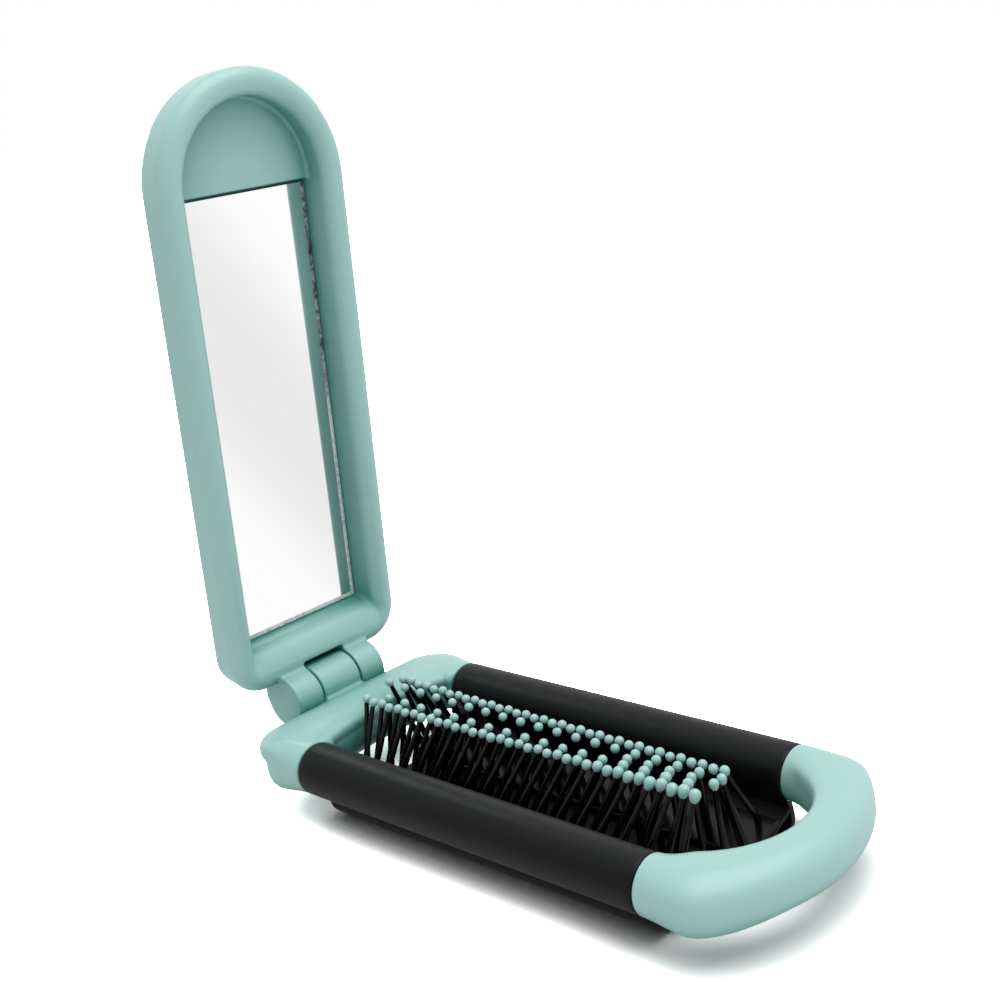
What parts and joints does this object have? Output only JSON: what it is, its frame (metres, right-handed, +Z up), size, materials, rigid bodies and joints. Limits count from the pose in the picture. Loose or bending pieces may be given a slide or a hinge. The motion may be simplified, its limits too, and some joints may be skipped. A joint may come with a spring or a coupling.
{
  "type": "folding hairbrush with mirror",
  "caption": "Pocket hairbrush with a loop frame, a pop-up rubber pad of ball-tipped pins, and a hinged cover that holds a mirror and folds over the pins or opens out as a handle.",
  "frame": {"origin": "centre of the bounding box in plan, on the surface the brush stands on", "axes": "+Z up, along the open cover; +X from the hinge towards the rounded nose; +Y across the brush, from the front grip to the rear grip"},
  "size_m": [0.125, 0.0492, 0.1341],
  "materials": {
    "mint_plastic": "satin moulded plastic",
    "mint_tips": "smooth moulded ball tips",
    "black_rubber": "soft-touch matte",
    "black_plastic": "smooth, slightly glossy",
    "mirror": "silvered glass",
    "tape": "adhesive foam sheet",
    "steel": "plain drawn wire"
  },
  "bodies": {
    "frame": {"hinge_end_bar": "mint_plastic", "nose_bar": "mint_plastic", "front_rail_rod": "mint_plastic", "rear_rail_rod": "mint_plastic", "front_grip": "black_rubber", "rear_grip": "black_rubber", "front_wall": "black_rubber", "rear_wall": "black_rubber", "front_web": "black_rubber", "rear_web": "black_rubber"},
    "cover": {"cover_shell": "mint_plastic", "mirror_glass": "mirror", "mirror_tape": "tape", "hinge_pin": "steel"},
    "pad": {"push_pad": "black_rubber", "centre_pins": "black_plastic", "centre_tips": "mint_tips"},
    "front_bank": {"front_pin_strip": "black_plastic", "front_inner_pins": "black_plastic", "front_middle_pins": "black_plastic", "front_outer_pins": "black_plastic", "front_inner_tips": "mint_tips", "front_middle_tips": "mint_tips", "front_outer_tips": "mint_tips"},
    "rear_bank": {"rear_pin_strip": "black_plastic", "rear_inner_pins": "black_plastic", "rear_middle_pins": "black_plastic", "rear_outer_pins": "black_plastic", "rear_inner_tips": "mint_tips", "rear_middle_tips": "mint_tips", "rear_outer_tips": "mint_tips"}
  },
  "joints": [
    {"name": "cover_hinge", "type": "hinge", "parent": "frame", "child": "cover", "pos_m": [-0.05412, 0, 0.0157], "axis": [0, -1, 0], "range_deg": [-86.1, 93.9]},
    {"name": "pad_pop", "type": "slide", "parent": "frame", "child": "pad", "axis": [0, 0, 1], "range_m": [0, 0.0034], "deforming": ["front_web", "rear_web"]},
    {"name": "front_bank_tilt", "type": "hinge", "parent": "pad", "child": "front_bank", "pos_m": [0.0034, -0.0051, 0.00231], "axis": [1, 0, 0], "range_deg": [0, 15]},
    {"name": "rear_bank_tilt", "type": "hinge", "parent": "pad", "child": "rear_bank", "pos_m": [0.0034, 0.0051, 0.00231], "axis": [-1, 0, 0], "range_deg": [0, 15]}
  ],
  "couplings": [
    {"joint": "front_bank_tilt", "follows": "pad_pop", "rad_per_m": 76.98},
    {"joint": "rear_bank_tilt", "follows": "pad_pop", "rad_per_m": 76.98}
  ]
}
